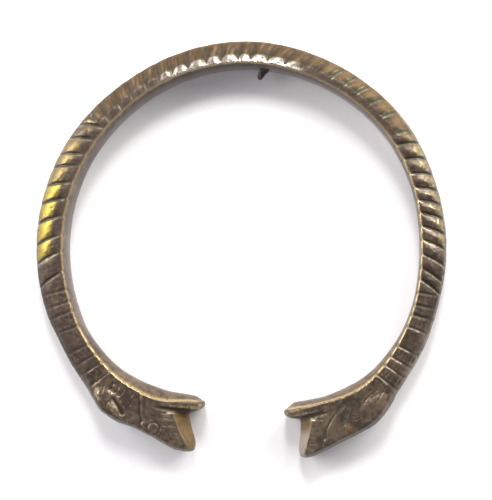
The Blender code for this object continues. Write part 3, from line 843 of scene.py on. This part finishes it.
def casting_mesh():
    """The whole casting as one mesh, with its wear and its colour zones, painted shade,
    highlights and reflection among them, as attributes, and how far it is shifted to lie
    where the solid lies."""
    along, across, level, turn = grid()
    top = np.where(turn == 1, 0, upper_side(along, across))
    under = np.where(turn > 0, under_side(along, across), 0)
    points = skin(along, across, level, turn, top, under)
    normal = normals_of(points)
    outward = np.sign(np.sum(normal[:, wall_lines + top_lines // 2, 2]))
    normal *= outward
    steady = rise(near_lip(along), 0.6 * MM, 1.5 * MM)
    steady = steady * (0.3 + 0.7 * ease(across / 0.08) * (turn == 0))
    points = points + normal * (weathering(points) * steady)[..., None]
    zones = colour_zones(along, across, level, turn)
    zones.update(wear_zones(points, normal, along, across, level, turn))

    flat = points.reshape(-1, 3)
    low, high = flat.min(axis=0), flat.max(axis=0)
    place = (np.sum(cad_box, axis=0) - (low + high)) / 2
    place[2] = -low[2]
    spur, spur_faces, dark_root = spur_points()
    faces = skin_faces(across, outward)
    faces += [[len(flat) + corner for corner in face] for face in spur_faces]
    mesh = bpy.data.meshes.new("snake_casting")
    mesh.from_pydata((np.concatenate([flat, spur]) + place).tolist(), [], faces)
    for name, values in zones.items():
        spur_values = dark_root if name == "dark_root" else np.zeros(len(spur))
        data = mesh.attributes.new(name, "FLOAT", "POINT").data
        data.foreach_set("value", np.concatenate([values.ravel(), spur_values]).astype(np.float32))
    mesh.shade_smooth()
    mesh.validate()
    return mesh, place


def wear_zones(points, normal, along, across, level, turn):
    """Where the skin is rubbed bright and where it is sunk, told from how far it stands over
    the skin round it, less what the plain section's own curve makes of that. Near the rim of
    the right lobes a painted highlight is added to the rubbing."""
    height = opened(section_height(along, across), along, across)
    plain = skin(along, across, level, turn, height, height)
    relief = np.sum((points - blurred(points, 14, 10)) * normal, axis=-1)
    relief -= 0.8 * np.sum((plain - blurred(plain, 14, 10)) * normal, axis=-1)
    place = along / MM
    rubbed = np.clip((relief - 0.02 * MM) / (0.09 * MM), 0, 1)
    rubbed = rubbed * (1 - 0.8 * between(place, 62, 6, 122, 8)) * (1 - 0.25 * fall(place, 8, 4))
    left_inner = rise(place, 24, 4) * fall(across, 0.26, 0.15)
    rubbed = rubbed * (1 - 0.45 * between(place, 137, 4, 151, 3)) * (1 - 0.4 * left_inner)
    near_rim = between(across, 0.5, 0.2, 0.85, 0.12) * rise(lobe_share(along, across), 0.35, 0.4)
    # the outer third of each right lobe: partly rubbed brass, partly a painted highlight
    rubbed_and_highlit_right = 0.75 * between(place, 118, 8, 139, 7) * near_rim
    sunk = np.clip((-relief - 0.01 * MM) / (0.09 * MM), 0, 1)
    return {"worn_and_highlit": np.maximum(rubbed, rubbed_and_highlit_right) * (turn == 0), "sunk": sunk * (turn == 0)}


def groove_wedges(across, lobe):
    """The dark wedge on each groove of the back, which broadens away from the inner edge
    and pales towards the rim."""
    wedge = fall(lobe, 0.65 * rise(across, 0.1, 0.32), 0.4) * (1 - 0.6 * rise(across, 0.4, 0.3))
    return np.maximum(wedge, 0.9 * fall(lobe, 0.1, 0.4)) * rise(across, 0.08, 0.12)


def painted_highlight_band(across, place, wedge):
    """A painted highlight along the inner edge of the back, with a fading tooth on each lobe."""
    band = ease(across / 0.06) * fall(across, 0.26, 0.15) * (1 - 0.45 * rise(across, 0.14, 0.12))
    teeth = 1 - 0.9 * wedge * rise(across, 0.1, 0.12)
    return between(place, 76.5, 3.5, 98.5, 4.5) * band * teeth


def mouth_tones(along, across):
    """Ochre dirt on the slope inside each mouth, and how pale the right one is made."""
    ochre = np.zeros_like(along)
    for head in HEADS:
        end = mouth_line(head, across)
        past = (from_lip(head, along) - end) / (bevel_line(head, across) - end)
        inside = fall(past, 0.85, 0.25) * rise(across / head["lip"], 1.0, 0.2)
        if head is RIGHT_HEAD:
            pale = 0.75 * inside * rise(across, 0.3, 0.25)
            inside = inside * (1 - 0.7 * rise(across, 0.35, 0.3))
        ochre = np.maximum(ochre, inside)
    return ochre, pale


def pale_lines(along, across, place, seen):
    """Pale lines: dust and painted highlight on the grooves' lips, a painted glint along the right rim, and
    pale dust in the long arcs and the teeth.
    """
    lines = [
        groove_lips(along, across) * (1 - 0.35 * fall(place, 56, 4)),
        0.7 * strokes(seen, RIGHT_HEAD, RIGHT_ARCS, 0.8 * MM),
        # painted glint along the right rim
        0.6 * between(place, 114, 8, 160, 5) * rise(across, 0.86, 0.08),
    ]
    lines += [0.5 * strokes(seen, head, tooth_paths(head), 0.5 * MM) for head in HEADS]
    return np.max(lines, axis=0)


def painted_shade_areas(across, place, started):
    """Painted shade: darker colour low on both sides, on the inner third of the sides, and on the left lip.
    """
    low_left = 0.88 * rise(place, 18, 4) * fall(started, 40, 1.5)
    low_right = between(place, 138, 6, 152, 3)
    sides = between(place, 38, 3, 75.5, 3) + between(place, 98, 4, 128, 6)
    left_lip = 0.85 * fall(place, 9, 3) * fall(across, 0.28, 0.08)
    return np.max([low_left, low_right, fall(across, 0.24, 0.2) * sides, left_lip], axis=0)


def painted_wall_reflection(across, level, turn, place, to_lip):
    """Painted reflection of the pale table on the inner wall, which grows towards its foot and round it."""
    lower_down = 0.5 + 0.5 * np.where(turn == -1, -level, level)
    reflection = lower_down * (1 - 0.6 * rise(place, 118, 12)) * (0.3 + 0.7 * rise(to_lip, 1.5, 5))
    reflection = reflection * (0.55 + 0.45 * rise(place, 58, 10))
    foot = reflection * (turn == 1) * fall(across, 0, 0.15)
    return np.where((turn == -1) | (turn == 2), reflection, foot)


def colour_zones(along, across, level, turn):
    """Where each tone of the old brass lies, from 0 to 1, painted shade, highlight and
    reflection among them. Here place and started, where a groove through the place would
    start on the inner edge, are in mm along."""
    place = along / MM
    started = along_grooves(along, across) / MM
    to_lip = near_lip(along) / MM
    lobe = lobe_share(along, across)
    seen = from_above(along, across)
    wedge = groove_wedges(across, lobe)
    ochre, pale_slope = mouth_tones(along, across)
    ochre = np.maximum(ochre, 0.95 * bump(distance_to(seen, RIGHT_HEAD, *RIGHT_HEAD["eye"]), 1.05 * MM))
    top = between(place, 55, 14, 118, 12)
    upper_right = between(place, 99, 9, 121, 8)
    rubbed_left = between(started, 40.2, 1.5, 59.5, 3) * (1 - 0.6 * rise(started, 52.5, 2))
    tip = 0.8 * fall(to_lip, 0.9, 0.9) * fall(across, 0.2, 0.1)
    edge = bump(across * width_at(along), 0.4 * MM) * (1 - 0.4 * top) * (1 - 0.85 * tip)
    leaning = started - (0.4 + 0.5 * rise(place, 86, 8)) * across
    grain = np.stack([leaning * MM, across * MM, np.zeros_like(along)], axis=-1)
    zones = {
        "gold": between(across, 0.34, 0.1, 0.8, 0.2) * rubbed_left * rise(lobe, 0.15, 0.4),
        "amber": top * rise(across, 0.26, 0.16),
        "tan": upper_right * rise(across, 0.35, 0.25),
        "olive": np.maximum(top * wedge, tip),
        "painted_shade": painted_shade_areas(across, place, started),
        "pale_lips_and_glints": pale_lines(along, across, place, seen),
        "streak": 0.5 + 0.5 * lattice_noise(grain, 0.4 * MM, 21),
        "scratch": 0.5 + 0.5 * lattice_noise(grain, 0.24 * MM, 22),
        "jaw": fall(to_lip, 6.5, 3) * rise(across, 0.3, 0.1),
        "rim_green": rise(across, 0.9, 0.08) * fall(to_lip, 16, 8) * (turn == 0),
        "edge": edge * (1 - 0.4 * between(place, 24, 6, 58, 8)),
    }
    turned_under = np.where(turn == 1, rise(across, 0.5, 0.45), turn == 0)
    zones = {name: zone * turned_under for name, zone in zones.items()}
    on_wall = (turn == -1) | (turn == 2)
    # pale: the painted reflection of the table on the inner wall
    pale = painted_wall_reflection(across, level, turn, place, to_lip)
    left_over = 0.4 * (1 - top) * rise(place, 34, 4) * fall(place, 165, 2)
    zones["ochre"] = ochre * ~on_wall
    zones["green"] = np.maximum(upper_right, left_over)
    # painted reflection of the table on the inner wall, and the pale tone of the right mouth's slope
    zones["wall"] = np.where(on_wall, pale, np.maximum(pale, pale_slope))
    # painted highlight along the inner edge of the back; the material also makes the metal glossier there
    zones["painted_highlight"] = painted_highlight_band(across, place, wedge) * (turn == 0)
    zones["dark_root"] = np.zeros_like(along)
    return zones


class Shade:
    """A number that varies over a surface, reckoned with like a plain one."""

    def __init__(self, socket):
        self.socket = socket

    def __add__(self, other):
        return arithmetic("ADD", self, other)

    def __radd__(self, other):
        return arithmetic("ADD", other, self)

    def __sub__(self, other):
        return arithmetic("SUBTRACT", self, other)

    def __rsub__(self, other):
        return arithmetic("SUBTRACT", other, self)

    def __mul__(self, other):
        return arithmetic("MULTIPLY", self, other)

    def ramp(self, low, high, least=0.0, most=1.0):
        """A smooth step from least, where the number is low, to most, where it is high."""
        values = {"Value": self, "From Min": low, "From Max": high, "To Min": least, "To Max": most}
        tree = self.socket.id_data
        node = add_node(tree, "ShaderNodeMapRange", values, interpolation_type="SMOOTHSTEP")
        return Shade(node.outputs["Result"])


def fill(socket, value):
    """Links a socket to a shade or a colour's socket, or sets it to a number or a tone."""
    value = getattr(value, "socket", value)
    if isinstance(value, bpy.types.NodeSocket):
        socket.id_data.links.new(value, socket)
    else:
        socket.default_value = (*value, 1.0) if isinstance(value, tuple) else value


def add_node(tree, kind, values=None, **settings):
    """A shader node with its settings and the values of its sockets by name."""
    node = tree.nodes.new(kind)
    for name, value in settings.items():
        setattr(node, name, value)
    for name, value in (values or {}).items():
        fill(node.inputs[name], value)
    return node


def arithmetic(operation, first, second):
    tree = (first if isinstance(first, Shade) else second).socket.id_data
    node = add_node(tree, "ShaderNodeMath", operation=operation)
    fill(node.inputs[0], first)
    fill(node.inputs[1], second)
    return Shade(node.outputs[0])


def largest(first, *others):
    for other in others:
        first = arithmetic("MAXIMUM", first, other)
    return first


def noise(place, scale, detail=3.0, roughness=0.6):
    values = {"Vector": place, "Scale": scale, "Detail": detail, "Roughness": roughness}
    return Shade(add_node(place.id_data, "ShaderNodeTexNoise", values).outputs["Fac"])


def mixed(share, first, second):
    """The second colour laid over the first."""
    node = add_node(share.socket.id_data, "ShaderNodeMix", data_type="RGBA")
    sockets = {socket.identifier: socket for socket in node.inputs}
    for name, value in (("Factor_Float", share), ("A_Color", first), ("B_Color", second)):
        fill(sockets[name], value)
    return node.outputs[2]


# Tones of the old brass, as linear colours
DARK_BROWN = (0.075, 0.056, 0.043)
UMBER = (0.052, 0.037, 0.03)
WARM_BROWN = (0.17, 0.125, 0.085)
AMBER = (0.083, 0.052, 0.024)
RED_BROWN = (0.125, 0.07, 0.043)
TAN = (0.155, 0.105, 0.045)
OLIVE = (0.034, 0.029, 0.014)
PALE_SCRATCH = (0.2, 0.155, 0.095)
YELLOW_BRASS = (0.37, 0.27, 0.055)
DULL_BRASS = (0.22, 0.16, 0.035)
# pale lips, partly painted highlight, and a painted glint on the right rim
PALE_LIP_AND_GLINT = (0.33, 0.31, 0.21)
# rubbed brass, also used as a painted highlight on the right lobes
RUBBED_AND_HIGHLIT_BRASS = (0.52, 0.41, 0.21)
# painted highlight: a pale brass laid where the main light's highlight falls on the back
PAINTED_HIGHLIGHT_BRASS = (0.56, 0.50, 0.43)
COPPERY_EDGE = (0.56, 0.41, 0.20)
GREEN_DIRT = (0.085, 0.09, 0.06)
OCHRE = (0.17, 0.11, 0.045)
OCHRE_DARK = (0.09, 0.065, 0.03)
# painted reflection of the table on the inner wall; also the pale tone of the right mouth's slope
PAINTED_REFLECTION_AND_PALE_SLOPE = (0.42, 0.37, 0.335)
DARK_ROOT_TONE = (0.05, 0.042, 0.034)

# the attributes the material reads; wall holds the painted reflection on the inner wall and the right
# mouth's pale slope
ZONES = (
    "worn_and_highlit", "sunk", "gold", "amber", "tan", "olive", "painted_shade", "pale_lips_and_glints", "streak", "scratch",
    "jaw", "rim_green", "edge", "ochre", "green", "wall", "painted_highlight", "dark_root",
)


def tone_shares(zone, mottled, speckled):
    """How strongly each tone covers what lies under it: its zone, broken up by the grain."""
    streak, sunk = zone["streak"], zone["sunk"]
    patchy = mottled.ramp(0.36, 0.6, 0.35, 1.0)
    return {
        "patchy": patchy,
        # painted shade, broken up by the grain
        "painted_shade": zone["painted_shade"] * mottled.ramp(0.4, 0.62, 0.98, 0.65),
        "amber": zone["amber"] * mottled.ramp(0.3, 0.5, 0.85, 1.0),
        "tan": zone["tan"] * streak.ramp(0.2, 0.55, 0.45, 1.0),
        "olive": zone["olive"] * streak.ramp(0.1, 0.6, 1.0, 0.75),
        "gold": zone["gold"] * mottled.ramp(0.28, 0.5, 0.5, 1.0),
        # rubbed brass, and the painted highlight near the rim of the right lobes
        "rubbed": zone["worn_and_highlit"].ramp(0.2, 1.0, 0.0, 0.8) * patchy,
        # painted highlight, broken up and kept out of the cuts
        "painted_highlight": zone["painted_highlight"] * mottled.ramp(0.32, 0.52, 0.25, 0.9) * sunk.ramp(0.05, 0.4, 1.0, 0.0),
        "edge": zone["edge"] * speckled.ramp(0.3, 0.55, 0.45, 0.95),
        # pale lips, partly painted highlight, and the painted glint on the right rim
        "pale_lips_and_glints": zone["pale_lips_and_glints"] * mottled.ramp(0.35, 0.6, 0.15, 0.8),
        "verdigris": largest(zone["green"] * sunk.ramp(0.3, 0.9, 0.0, 0.6), zone["rim_green"] * 0.6),
    }


def streaked_back(zone, share, mottled):
    """The outer back's own colour: red-brown and olive streaks with pale scratches, dappled
    with tan at the upper right."""
    streaked = mixed(zone["streak"].ramp(0.4, 0.75), AMBER, RED_BROWN)
    streaked = mixed(zone["scratch"].ramp(0.15, 0.45, 0.55, 0.0), streaked, OLIVE)
    streaked = mixed(zone["scratch"].ramp(0.6, 0.9, 0.0, 0.5), streaked, PALE_SCRATCH)
    return mixed(share["tan"], streaked, mixed(mottled.ramp(0.36, 0.6), RED_BROWN, TAN))


def brass_colour(zone, share, broad, mottled, speckled):
    """The brown patina with every other tone laid over it in turn, painted shade, painted
    highlights and the painted reflection on the inner wall among them.
    """
    tone = broad + mottled + zone["jaw"] * 0.12
    colour = mixed(tone.ramp(0.85, 1.25), DARK_BROWN, WARM_BROWN)
    layers = (
        # painted shade, which also dulls the surface
        (share["painted_shade"], UMBER),
        (share["amber"], streaked_back(zone, share, mottled)),
        (share["olive"], OLIVE),
        # painted reflection on the inner wall, and the right mouth's pale slope
        (zone["wall"].ramp(0.1, 1.0), PAINTED_REFLECTION_AND_PALE_SLOPE),
        (zone["ochre"], mixed(share["patchy"], OCHRE_DARK, OCHRE)),
        (share["gold"], mixed(speckled.ramp(0.38, 0.56), DULL_BRASS, YELLOW_BRASS)),
        # rubbed brass, and a painted highlight near the rim of the right lobes
        (share["rubbed"], RUBBED_AND_HIGHLIT_BRASS),
        # painted highlight on the back
        (share["painted_highlight"], PAINTED_HIGHLIGHT_BRASS),
        (share["edge"], COPPERY_EDGE),
        (zone["sunk"].ramp(0.15, 0.9, 0.0, 0.85), UMBER),
        (share["verdigris"], GREEN_DIRT),
        # pale lips, partly painted highlight, and a painted glint on the right rim
        (share["pale_lips_and_glints"], PALE_LIP_AND_GLINT),
        (zone["dark_root"], DARK_ROOT_TONE),
    )
    for cover, layer in layers:
        colour = mixed(cover, colour, layer)
    return colour


def old_brass():
    """Worn cast brass: brown patina, bright where it is rubbed, dull and dark in its cuts, with
    painted shade, painted highlights and a painted reflection on the inner wall.
    """
    material = bpy.data.materials.new("old_brass")
    material.use_nodes = True
    tree = material.node_tree
    tree.nodes.clear()
    place = tree.nodes.new("ShaderNodeTexCoord").outputs["Object"]
    broad = noise(place, 260.0)
    mottled = noise(place, 1100.0, 4.0, 0.65)
    speckled = noise(place, 3600.0, 2.0, 0.7)
    zone = {}
    for name in ZONES:
        zone[name] = Shade(add_node(tree, "ShaderNodeAttribute", attribute_name=name).outputs["Fac"])
    share = tone_shares(zone, mottled, speckled)

    bright = largest(*(share[name] for name in ("rubbed", "gold", "edge", "painted_highlight", "pale_lips_and_glints")))
    matte = largest(*(share[name] for name in ("amber", "olive", "verdigris")))
    # where shade is painted the surface is also duller
    matte = largest(matte, zone["ochre"] * 0.6, zone["painted_shade"].ramp(0.5, 1.0)) * (1.0 - bright)
    rough = 0.33 + matte * 0.22 - bright * 0.1 + share["gold"] * 0.17
    rough = rough + speckled.ramp(0.3, 0.7, -0.05, 0.07) + zone["wall"] * 0.12
    grain = {"Strength": 0.35, "Distance": 0.00006, "Height": mottled + speckled * 0.6}
    values = {
        "Base Color": brass_colour(zone, share, broad, mottled, speckled),
        "Metallic": 0.6 + bright * 0.35 - matte * 0.35,
        "Roughness": rough,
        "Specular IOR Level": matte.ramp(0.1, 0.9, 0.5, 0.15),
        "Normal": add_node(tree, "ShaderNodeBump", grain).outputs["Normal"],
    }
    shader = add_node(tree, "ShaderNodeBsdfPrincipled", values)
    add_node(tree, "ShaderNodeOutputMaterial", {"Surface": shader.outputs["BSDF"]})
    return material


table_reach = 1.6


def white_table():
    material = bpy.data.materials.new("white_table")
    material.use_nodes = True
    values = {"Base Color": (0.86, 0.855, 0.87), "Roughness": 0.7, "Specular IOR Level": 0.2}
    for name, value in values.items():
        fill(material.node_tree.nodes["Principled BSDF"].inputs[name], value)
    return material


def put(name, data):
    """A new object in the scene."""
    thing = bpy.data.objects.new(name, data)
    bpy.context.scene.collection.objects.link(thing)
    return thing


def make_casting():
    mesh, place = casting_mesh()
    casting = put("snake_casting", mesh)
    mesh.materials.append(old_brass())
    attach(casting, "root")
    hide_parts("bracelet")
    return place


def make_table():
    mesh = bpy.data.meshes.new("table")
    corners = [(x * table_reach, y * table_reach, 0.0) for x, y in ((-1, -1), (1, -1), (1, 1), (-1, 1))]
    mesh.from_pydata(corners, [], [(0, 1, 2, 3)])
    mesh.materials.append(white_table())
    table = put("table", mesh)


def softbox(name, azimuth, elevation, distance, size, power, colour):
    """A soft light that looks at the bracelet. azimuth runs from +X towards +Y."""
    data = bpy.data.lights.new(name, "AREA")
    data.shape = "RECTANGLE"
    data.size, data.size_y = size
    data.energy = power
    data.color = colour
    light = put(name, data)
    turn, lift = math.radians(azimuth), math.radians(elevation)
    way = Vector((math.cos(turn) * math.cos(lift), math.sin(turn) * math.cos(lift), math.sin(lift)))
    light.location = way * distance
    light.rotation_euler = way.to_track_quat("Z", "Y").to_euler()


def make_lights():
    softbox("window", 87.0, 45.5, 0.55, (0.12, 0.16), 2.0, (1.0, 0.99, 0.98))
    softbox("left_panel", 157.0, 25.0, 0.5, (0.42, 0.3), 3.3, (1.0, 0.98, 0.96))
    softbox("right_panel", 43.0, 25.0, 0.5, (0.36, 0.3), 3.65, (1.0, 0.975, 0.93))
    softbox("front_fill", -90.0, 52.0, 0.6, (0.4, 0.3), 0.46, (1.0, 0.97, 1.0))
    make_room()


def make_room():
    """The room's own light: dark overhead, where the camera hangs, and pale lower down."""
    world = bpy.data.worlds.new("studio")
    bpy.context.scene.world = world
    world.use_nodes = True
    tree = world.node_tree
    way = tree.nodes.new("ShaderNodeTexCoord").outputs["Generated"]
    up = Shade(add_node(tree, "ShaderNodeSeparateXYZ", {"Vector": way}).outputs["Z"])
    fill(tree.nodes["Background"].inputs["Color"], (0.93, 0.92, 1.0))
    fill(tree.nodes["Background"].inputs["Strength"], up.ramp(0.35, 0.92, 0.34, 0.145))


# The camera: where it stands from the ring's middle, its focal length in widths of the
# picture, and how far from the picture's middle, in pixels, it sees what is straight below
camera_place = (19.188 * MM, -13.133 * MM, 206.0 * MM)
focal_in_widths = 2.3813
plumb_offset = (107.0, -71.0)
picture_width = 492.0
sensor_width = 36.0


def make_camera(place):
    """The rows of the camera's turn are the world's three axes as the camera sees them."""
    data = bpy.data.cameras.new("camera")
    data.sensor_fit = "HORIZONTAL"
    data.sensor_width = sensor_width
    data.lens = sensor_width * focal_in_widths
    data.clip_start = 0.01
    camera = put("camera", data)
    up = -Vector((*plumb_offset, -focal_in_widths * picture_width)).normalized()
    right = (Vector((1, 0, 0)) - up * up.x).normalized()
    spot = Vector(camera_place) + Vector((place[0], place[1], 0.0))
    camera.matrix_world = Matrix.Translation(spot) @ Matrix((right, up.cross(right), up)).to_4x4()
    bpy.context.scene.camera = camera


def main():
    place = make_casting()
    make_table()
    make_lights()
    make_camera(place)
    bpy.context.scene.view_settings.view_transform = "Standard"


main()
